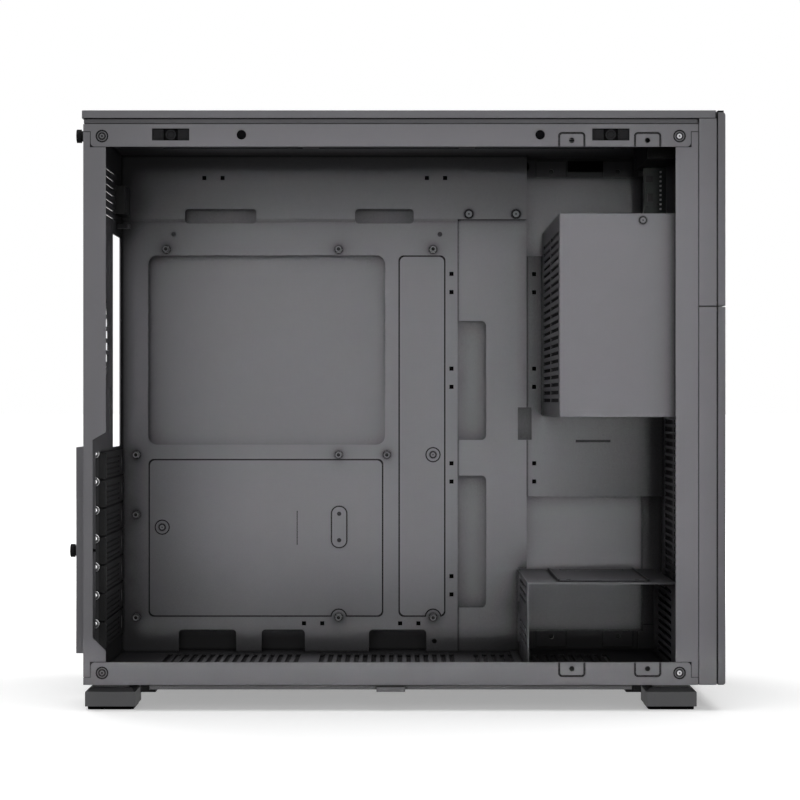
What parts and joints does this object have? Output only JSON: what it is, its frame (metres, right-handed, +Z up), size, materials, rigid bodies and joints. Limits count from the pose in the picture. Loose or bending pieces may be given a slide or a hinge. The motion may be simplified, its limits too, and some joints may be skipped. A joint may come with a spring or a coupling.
{
  "type": "mid tower pc case",
  "caption": "Mid tower computer case with its side panel off: folded steel chassis, motherboard tray, front power supply bay, drive cage, slot covers and sliding dust filter.",
  "frame": {"origin": "centre of the overall box, on the floor under the feet", "axes": "+X towards the front of the case, +Y towards its closed right side, +Z up"},
  "size_m": [0.451, 0.205, 0.4104],
  "materials": {
    "coated_steel": "matt powder coat",
    "front_frame": "matt",
    "front_plate": "fine matt",
    "foot_plastic": "matt",
    "black_plastic": "satin",
    "rubber": "matt",
    "dust_mesh": "woven mesh",
    "bright_steel": "plain",
    "dark_screw": "black zinc",
    "circuit_board": "satin"
  },
  "bodies": {
    "case": {"audio_port": "black_plastic", "bumpers": "rubber", "cable_strip": "coated_steel", "chassis_bottom": "coated_steel", "chassis_front": "coated_steel", "chassis_rear": "coated_steel", "chassis_top": "coated_steel", "corner_screws": "dark_screw", "drive_cage": "coated_steel", "drive_plate": "coated_steel", "filter_rails": "black_plastic", "foot_front_left": "foot_plastic", "foot_front_right": "foot_plastic", "foot_rear_left": "foot_plastic", "foot_rear_right": "foot_plastic", "front_frame_lower": "front_frame", "front_frame_upper": "front_frame", "front_mesh": "dust_mesh", "front_plate_lower": "front_plate", "front_plate_upper": "front_plate", "front_trim": "black_plastic", "guard_thumbscrew": "dark_screw", "input_board": "circuit_board", "input_pins": "bright_steel", "motherboard_tray": "coated_steel", "narrow_plate": "coated_steel", "pad_front_left": "rubber", "pad_front_right": "rubber", "pad_rear_left": "rubber", "pad_rear_right": "rubber", "panel_clips": "black_plastic", "panel_thumbscrews": "dark_screw", "plate_screws": "dark_screw", "port_module": "black_plastic", "power_inlet": "black_plastic", "psu_back_plate": "coated_steel", "psu_cover": "coated_steel", "psu_mount_plate": "coated_steel", "psu_screw": "dark_screw", "right_side_panel": "coated_steel", "slot_cover_1": "coated_steel", "slot_cover_2": "coated_steel", "slot_cover_3": "coated_steel", "slot_cover_4": "coated_steel", "slot_cover_5": "coated_steel", "slot_cover_6": "coated_steel", "slot_cover_7": "coated_steel", "slot_guard": "coated_steel", "small_drive_tray": "coated_steel", "standoffs": "dark_screw", "top_cover": "coated_steel", "top_frame": "front_frame", "top_mesh": "dust_mesh", "usb_a_port": "bright_steel", "usb_c_port": "bright_steel"},
    "power_button": {"power_button": "black_plastic"},
    "dust_filter": {"dust_filter": "black_plastic", "filter_mesh": "dust_mesh"}
  },
  "joints": [
    {"name": "power_button_press", "type": "slide", "parent": "case", "child": "power_button", "axis": [0, 0, -1], "range_m": [0, 0.0015], "stiffness_N_per_m": 400},
    {"name": "dust_filter_slide", "type": "slide", "parent": "case", "child": "dust_filter", "axis": [0, -1, 0], "range_m": [0, 0.19]}
  ]
}
